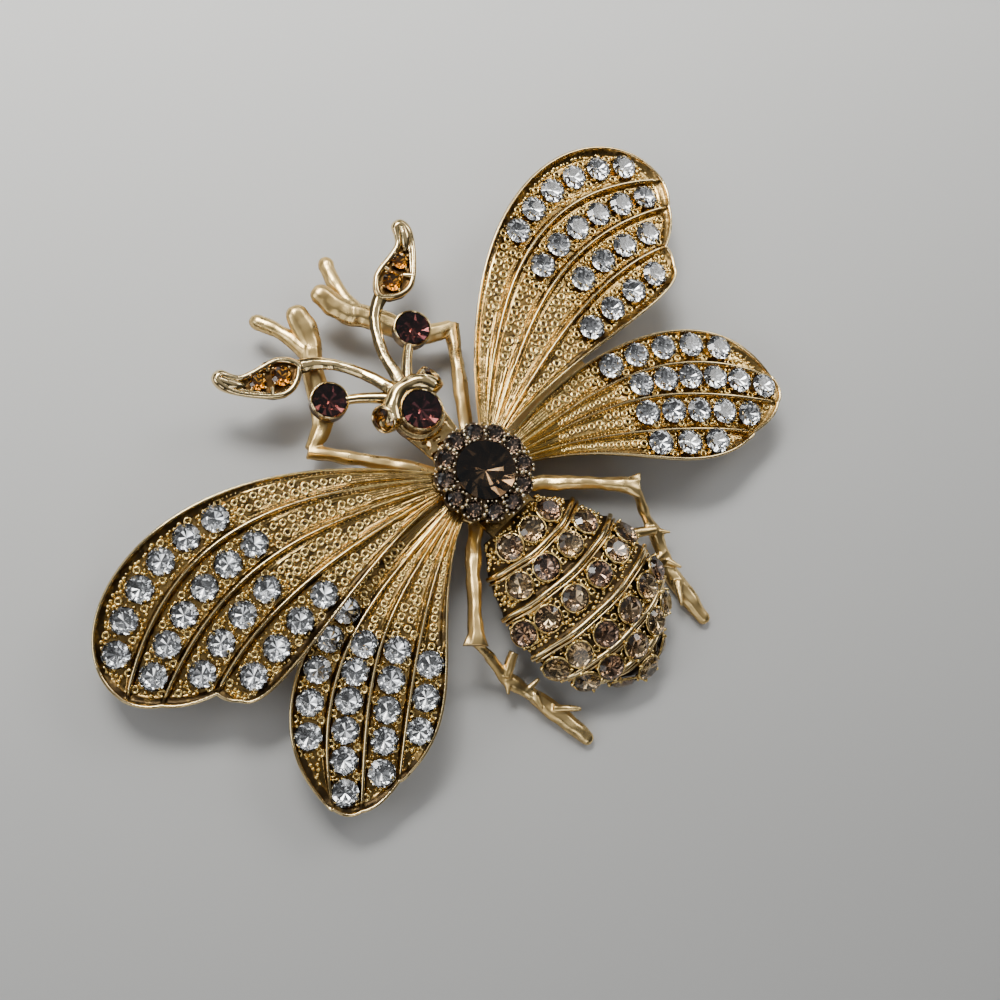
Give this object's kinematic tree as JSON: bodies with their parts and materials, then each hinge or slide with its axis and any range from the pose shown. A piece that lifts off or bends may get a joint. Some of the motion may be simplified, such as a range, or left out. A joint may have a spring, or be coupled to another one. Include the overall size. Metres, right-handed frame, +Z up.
{
  "type": "insect brooch",
  "caption": "Gold plated insect brooch with ribbed wings, a domed striped abdomen, leaf antennae and pavé set clear and brown stones.",
  "frame": {"origin": "middle of the overall box in plan, on the surface the brooch lies on", "axes": "+X from wing tip to wing tip towards the insect's right as seen from above, +Y towards its head, +Z up out of its back"},
  "size_m": [0.0596, 0.0411, 0.0074],
  "materials": {
    "antique_gold": "satin",
    "pale_gold": "polished",
    "bright_gold": "polished",
    "clear_crystal": "polished",
    "brown_crystal": "polished",
    "plum_crystal": "polished",
    "amber_crystal": "polished",
    "smoke_crystal": "polished"
  },
  "bodies": {
    "root": {"forewings": "antique_gold", "hindwings": "antique_gold", "abdomen": "antique_gold", "head": "pale_gold", "thorax_crown": "antique_gold", "legs": "bright_gold", "brooch_pin": "bright_gold", "forewing_stones_left": "clear_crystal", "forewing_stones_right": "clear_crystal", "hindwing_stones_left": "clear_crystal", "hindwing_stones_right": "clear_crystal", "abdomen_stones": "brown_crystal", "halo_stones": "brown_crystal", "thorax_stone": "smoke_crystal", "head_stone": "plum_crystal", "eye_stone_left": "amber_crystal", "eye_stone_right": "amber_crystal", "antenna_stone_left": "plum_crystal", "antenna_stone_right": "plum_crystal", "leaf_stone_inner_left": "brown_crystal", "leaf_stone_outer_left": "amber_crystal", "leaf_stone_inner_right": "brown_crystal", "leaf_stone_outer_right": "amber_crystal"}
  },
  "joints": []
}
